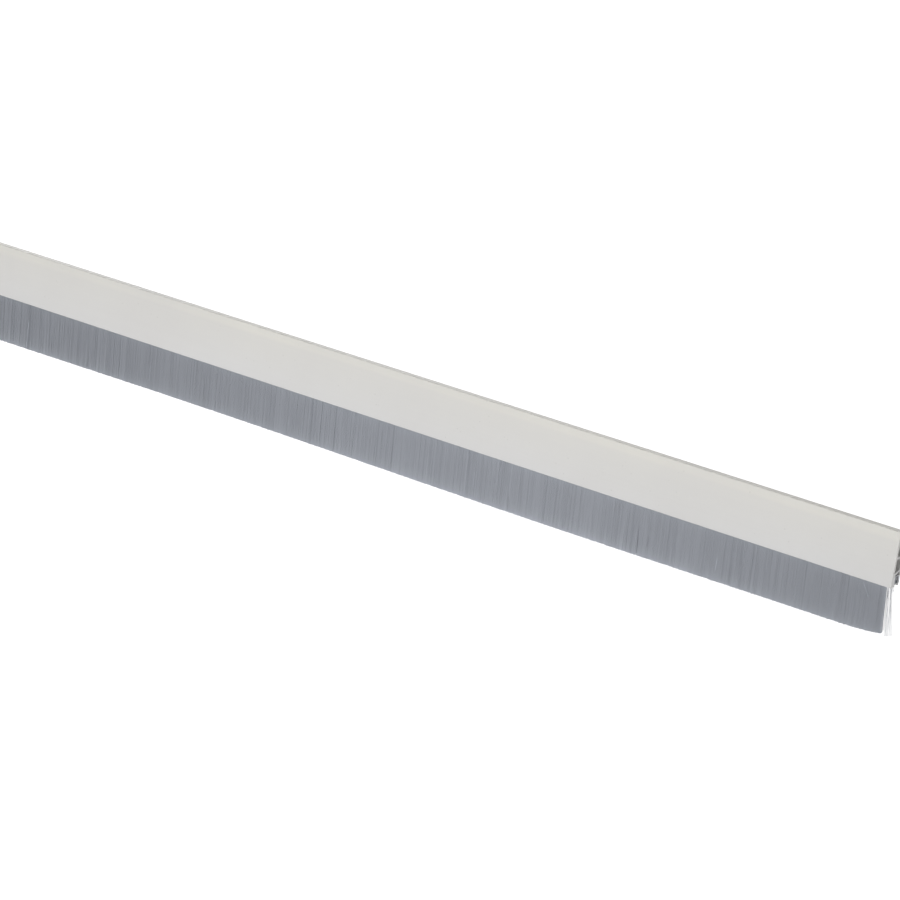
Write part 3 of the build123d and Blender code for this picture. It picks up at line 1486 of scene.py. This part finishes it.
    def common(self) -> dict[str, Value]:
        """Inputs that every row shares.

        Returns:
            Their values by name.
        """
        root = self.carrier_bottom + self.root_lift
        return {
            "Root_Height": root,
            "Drop": root - self.box.low.z + self.uneven_tips,
            "Middle": self.middle,
            "Spread": self.tip_half / self.root_half - 1.0,
            "Strand_Radius": self.strand_radius,
            "Trim_Wave": self.trim_wave,
            "Trim_Period": self.trim_period,
            "Trim_Peak": self.trim_peak,
        }

    def build(
        self, material: bpy.types.Material, pale: bpy.types.Material, packed: bpy.types.Material
    ) -> None:
        """Make all the rows, and the fold inside the spine.

        Args:
            material: the bristles' material.
            pale: material of the single strands, with painted backlight.
            packed: material of the fold inside the spine, with painted shade.
        """
        self.layers(material)
        self.loose_strands(material)
        self.end_strands(CutEnd("right", self.box.high.x, 1.0, self.right_tufts), pale)
        self.end_strands(CutEnd("left", self.box.low.x, -1.0, self.left_tufts), pale)
        self.fold(packed)

    def layers(self, material: bpy.types.Material) -> None:
        """Grow the dense layers.

        Args:
            material: the bristles' material.
        """
        for place, layer in enumerate(StrandRow):
            self.row(
                layer.piece_name, material,
                Strand_Count=layer.count, Bends=1,
                Row_Start=self.start + layer.end_gap, Row_Length=self.length - 2 * layer.end_gap,
                Depths=(layer.low * self.inner_half, layer.high * self.inner_half),
                Lean_Broad=self.layer_lean_broad, Lean_Fine=self.layer_lean_fine,
                Lean_Random=self.layer_loose, Shortest=self.layer_shortest,
                Tones=self.layer_tones, Tone_Wave=self.painted_light_swell,
                Tone_Period=self.light_swell_period, Tone_Peak=self.light_swell_peak,
                End_Tone=self.painted_end_light, End_Width=self.painted_end_light_width, End_Short=self.end_short,
                End_Lean=self.end_lean, Short_Width=self.end_short_width,
                Seed=self.layer_seed + self.layer_seed_step * place,
            )

    def loose_strands(self, material: bpy.types.Material) -> None:
        """Grow the strands that come forward from the brush, and the ones that cross it.

        Args:
            material: the bristles' material.
        """
        for side, half, seed in zip(("front", "back"), (-self.root_half, self.root_half), self.stray_seeds):
            self.row(
                f"strands_stray_{side}", material,
                Strand_Count=self.stray_count, Bends=8, Strand_Radius=self.stray_radius,
                Row_Start=self.start + self.stray_lean, Row_Length=self.length - 2 * self.stray_lean,
                Depths=tuple(share * half for share in self.stray_depths), Spread=self.stray_spread,
                Lean_Random=self.stray_lean, Shortest=self.stray_shortest, Tones=self.stray_tones,
                Seed=seed,
            )
        self.row(
            "strands_crossing", material,
            Strand_Count=self.crossing_count, Bends=6, Row_Start=self.crossing_root,
            Row_Length=self.crossing_width, Drop=self.crossing_drop,
            Depths=tuple(share * self.root_half for share in self.crossing_depths),
            Spread=self.crossing_spread, Lean_Along=self.crossing_lean, Lean_Power=1.0,
            Trim_Wave=0.0, Tones=self.crossing_tones, Seed=self.crossing_seed,
        )

    def end_strands(self, end: CutEnd, material: bpy.types.Material) -> None:
        """Grow the fringe, the short stubs and the loose tufts at a cut end.

        Args:
            end: the cut end.
            material: material of the single strands, with painted backlight.
        """
        place, outwards = end.place, end.outwards
        front_half = (-self.inner_half, 0.0)
        self.row(
            f"strands_end_{end.side}", material,
            Strand_Count=self.fringe_count, Bends=4,
            Strand_Radius=self.fringe_thickness * self.strand_radius,
            Row_Start=place - outwards * (self.end_recess - self.fringe_overlap),
            Row_Length=-outwards * self.fringe_width, Depths=front_half,
            Lean_Along=outwards * self.fringe_lean, Lean_Random=self.fringe_loose,
            Lengths=self.fringe_lengths, Tones=self.fringe_tones,
            Seed=self.fringe_seed,
        )
        self.row(
            f"strands_stub_{end.side}", material,
            Strand_Count=self.stub_count, Bends=2, Strand_Radius=self.tuft_radius,
            Row_Start=place - outwards * self.end_recess,
            Row_Length=outwards * (self.end_recess - self.stub_margin),
            Drop=self.root_lift + self.stub_drop, Depths=front_half,
            Lean_Along=outwards * self.stub_lean, Lean_Random=self.stub_loose,
            Shortest=self.stub_shortest, Trim_Wave=0.0, Tones=self.stub_tones,
            Seed=self.stub_seed,
        )
        for number, tuft in enumerate(end.tufts):
            self.row(
                f"tuft_{tuft.name}_{end.side}", material,
                Strand_Count=tuft.count, Bends=8, Strand_Radius=self.tuft_radius,
                Row_Start=place - outwards * (tuft.root + tuft.width / 2),
                Row_Length=outwards * tuft.width, Depths=(-self.inner_half / 2, 0.0),
                Lean_Along=outwards * tuft.lean, Lean_Random=self.tuft_loose, Lean_Power=1.0,
                Lengths=(self.tuft_evenness * tuft.length, tuft.length), Tones=self.tuft_tones,
                Seed=self.tuft_seed + self.tuft_seed_step * number,
            )

    def fold(self, material: bpy.types.Material) -> None:
        """Make the part of the pack that is folded over the wire inside the spine.

        Args:
            material: the fold's material.
        """
        mouth = self.carrier_bottom + self.root_lift - self.fold_overlap
        half, shoulder = self.fold_half, mouth + self.fold_shoulder
        mouth_half = self.fold_mouth_share * half
        outline = rounded_loop([
            Corner(self.middle - mouth_half, mouth),
            Corner(self.middle - half, shoulder),
            Corner(self.middle - half, self.box.high.z, self.fold_radius),
            Corner(self.middle + half, self.box.high.z, self.fold_radius),
            Corner(self.middle + half, shoulder),
            Corner(self.middle + mouth_half, mouth),
        ])
        hole = round_outline(self.wire_box, self.hole_radius, self.hole_sides)
        piece = Extrusion("strands_fold", outline, self.box.low.x, self.box.high.x, [hole]).make()
        tone = piece.data.attributes.new("tone", "FLOAT", "POINT")
        tone.data.foreach_set("value", [self.fold_tone] * len(piece.data.vertices))
        dress(piece, material, "bristles")


@dataclass
class FixingTape:
    """The foam tape on the back and the paper liner over it."""

    tape_box: NodeBox
    liner_box: NodeBox
    tape_edge_radius: float = 0.12 * MM
    tape_edge_break: float = 0.05 * MM
    liner_edge_radius: float = 0.02 * MM
    liner_edge_break: float = 0.01 * MM

    def strip(self, name: str, box: NodeBox, radius: float, edge_break: float) -> bpy.types.Object:
        """Make one flat strip in a node's box.

        Args:
            name: the strip's name.
            box: the node's box.
            radius: radius of its long edges.
            edge_break: how far its cut edges are taken back.

        Returns:
            The new object.
        """
        outline = rounded_loop([
            Corner(box.low.y, box.low.z, radius),
            Corner(box.low.y, box.high.z, radius),
            Corner(box.high.y, box.high.z, radius),
            Corner(box.high.y, box.low.z, radius),
        ], steps=4)
        return Extrusion(name, outline, box.low.x, box.high.x, edge_break=edge_break).make()

    def build(self, foam: bpy.types.Material, paper: bpy.types.Material) -> None:
        """Make the tape and the liner.

        Args:
            foam: the tape's material.
            paper: the liner's material.
        """
        tape = self.strip("tape_foam", self.tape_box, self.tape_edge_radius, self.tape_edge_break)
        dress(tape, foam, "adhesive_tape")
        liner = self.strip("liner_sheet", self.liner_box, self.liner_edge_radius, self.liner_edge_break)
        dress(liner, paper, "release_liner")


@dataclass
class PhotoCamera:
    """The camera at the photograph's viewing angle.

    Args:
        azimuth: degrees round the strip from its front, towards its right end.
        elevation: degrees above the horizon.
        roll: degrees that the camera is turned about its line of sight.
        focal_pixels: focal length in pixels of the picture.
        target: point that lies in the middle of the picture.
        distance: from the camera to the target.
        sensor: width of its sensor in millimetres.
        clip_near: nearest distance that it sees.
        clip_far: farthest distance that it sees.
    """

    azimuth: float = 35.28
    elevation: float = 19.80
    roll: float = 4.83
    focal_pixels: float = 3819.0
    target: Vector = field(default_factory=lambda: Vector((0.27781, -0.0004, -0.01813)))
    distance: float = 1.6306
    sensor: float = 36.0
    clip_near: float = 0.05
    clip_far: float = 50.0

    def build(self) -> None:
        """Place the camera."""
        data = bpy.data.cameras.new("photo_camera")
        data.sensor_fit = "HORIZONTAL"
        data.sensor_width = self.sensor
        data.lens = self.focal_pixels * self.sensor / PICTURE_PIXELS
        data.clip_start = self.clip_near
        data.clip_end = self.clip_far
        turn, lift = math.radians(self.azimuth), math.radians(self.elevation)
        back = Vector((math.sin(turn) * math.cos(lift), -math.cos(turn) * math.cos(lift), math.sin(lift)))
        level = Vector((math.cos(turn), math.sin(turn), 0.0))
        upward = back.cross(level)
        angle = math.radians(self.roll)
        right = level * math.cos(angle) + upward * math.sin(angle)
        up = upward * math.cos(angle) - level * math.sin(angle)
        camera = bpy.data.objects.new("photo_camera", data)
        place = Matrix((right, up, back)).transposed().to_4x4()
        place.translation = self.target + back * self.distance
        camera.matrix_world = place
        bpy.context.scene.collection.objects.link(camera)
        bpy.context.scene.camera = camera


@dataclass(frozen=True)
class SoftLamp:
    """A soft lamp that looks at a place on the strip.

    Args:
        name: the lamp's name.
        along: X of the place that it looks at.
        away: where it stands, from that place.
        size: its width and height.
        power: its power in watts.
    """

    name: str
    along: float
    away: Triple
    size: Pair
    power: float

    def build(self, middle: Vector) -> None:
        """Add the lamp.

        Args:
            middle: the strip's middle.
        """
        data = bpy.data.lights.new(self.name, "AREA")
        data.shape = "RECTANGLE"
        data.size, data.size_y = self.size
        data.energy = self.power
        lamp = bpy.data.objects.new(self.name, data)
        lamp.matrix_world = (-Vector(self.away)).to_track_quat("-Z", "Y").to_matrix().to_4x4()
        lamp.location = middle + Vector(self.away) + Vector((self.along, 0.0, 0.0))
        bpy.context.scene.collection.objects.link(lamp)


@dataclass
class Studio:
    """A pale floor far below the strip, plain soft lamps and a white surround."""

    middle: Vector
    floor_drop: float = 0.45
    floor_size: float = 12.0
    surround_light: float = 0.30
    floor_tone: float = 0.8
    floor_glow: float = 0.8
    lamps: tuple[SoftLamp, ...] = (
        SoftLamp("key", 0.225, (0.0, -0.99, 0.28), (0.7, 0.32), 5.7),
        SoftLamp("left_front", -0.55, (0.0, -1.4, 0.4), (0.9, 0.6), 1.3),
        SoftLamp("right_end", 0.5, (1.35, -0.19, 0.08), (0.8, 0.6), 3.4),
        SoftLamp("left_end", -0.5, (-1.35, -0.19, 0.08), (0.8, 0.6), 3.4),
        SoftLamp("back_left", 0.0, (-2.0, 2.2, 0.9), (1.8, 1.2), 15.5),
        SoftLamp("back_right", 0.0, (2.0, 2.2, 0.9), (1.8, 1.2), 11.5),
    )

    def seen(self, build: Trees) -> Socket:
        """Tell apart the rays that look at a surface.

        Args:
            build: the tree to build in.

        Returns:
            1 for camera, glossy and transmission rays, and 0 for the others.
        """
        path = build.add("ShaderNodeLightPath").outputs
        sharp = build.maths("MAXIMUM", path["Is Glossy Ray"], path["Is Transmission Ray"])
        return build.maths("MAXIMUM", path["Is Camera Ray"], sharp)

    def surround(self) -> None:
        """Set the world: white where it is seen, and a plain soft light elsewhere."""
        world = bpy.data.worlds.new("surround")
        build = Trees.cleared(world)
        lit = build.add("ShaderNodeBackground", {"Color": WHITE, "Strength": self.surround_light})
        white = build.add("ShaderNodeBackground", {"Color": WHITE, "Strength": 1.0})
        both = build.add(
            "ShaderNodeMixShader", {0: self.seen(build), 1: lit.outputs[0], 2: white.outputs[0]}
        )
        build.add("ShaderNodeOutputWorld", {"Surface": both.outputs[0]})
        bpy.context.scene.world = world

    def floor(self) -> None:
        """Lay the floor, which is seen white but keeps the strip's soft shadow."""
        shape = bmesh.new()
        bmesh.ops.create_grid(shape, x_segments=1, y_segments=1, size=self.floor_size / 2)
        lowered = self.middle - Vector((0.0, 0.0, self.floor_drop))
        bmesh.ops.translate(shape, verts=shape.verts, vec=lowered)
        made = finished_object("floor", shape)
        material = bpy.data.materials.new("pale_floor")
        build = Trees.cleared(material)
        pale = build.add("ShaderNodeBsdfDiffuse", {"Color": (*[self.floor_tone] * 3, 1.0)})
        glow = build.add("ShaderNodeEmission", {"Color": WHITE, "Strength": self.floor_glow})
        both = build.add("ShaderNodeAddShader", {0: pale.outputs[0], 1: glow.outputs[0]})
        mixed = build.add(
            "ShaderNodeMixShader", {0: self.seen(build), 1: pale.outputs[0], 2: both.outputs[0]}
        )
        build.add("ShaderNodeOutputMaterial", {"Surface": mixed.outputs[0]})
        made.data.materials.append(material)
        made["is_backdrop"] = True

    def build(self) -> None:
        """Set the world, the floor, the lamps and the view."""
        self.surround()
        self.floor()
        for lamp in self.lamps:
            lamp.build(self.middle)
        bpy.context.scene.view_settings.view_transform = "Standard"


def plain_bounds() -> list[list[float]]:
    """The model's box as plain lists."""
    return [[float(value) for value in corner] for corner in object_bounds()]


def main() -> None:
    """Build the strip's pieces, the studio and the camera."""
    logging.basicConfig(level=logging.INFO, format="%(name)s: %(message)s")
    cad_box = plain_bounds()
    effects = SharedEffects()
    spine = SteelSpine(NodeBox.of("brush_spine"), NodeBox.of("core_wire"))
    carrier = CarrierProfile(NodeBox.of("carrier"), spine.middle)
    brush = BristleBrush(NodeBox.of("bristles"), NodeBox.of("core_wire"), spine.middle, carrier.bottom)
    tape = FixingTape(NodeBox.of("adhesive_tape"), NodeBox.of("release_liner"))
    carrier.build(WhitePvc().build(effects))
    spine.build(RolledSteel().build(effects), RolledSteel.wire().build(effects))
    brush.build(
        GreyBristle().build(effects), GreyBristle.pale().build(effects), GreyBristle.packed().build(effects)
    )
    tape.build(ClosedFoam().build(effects), WaxedPaper().build(effects))
    low, high = cad_box
    Studio((Vector(low) + Vector(high)) / 2).build()
    PhotoCamera().build()


if __name__ == "__main__":
    main()
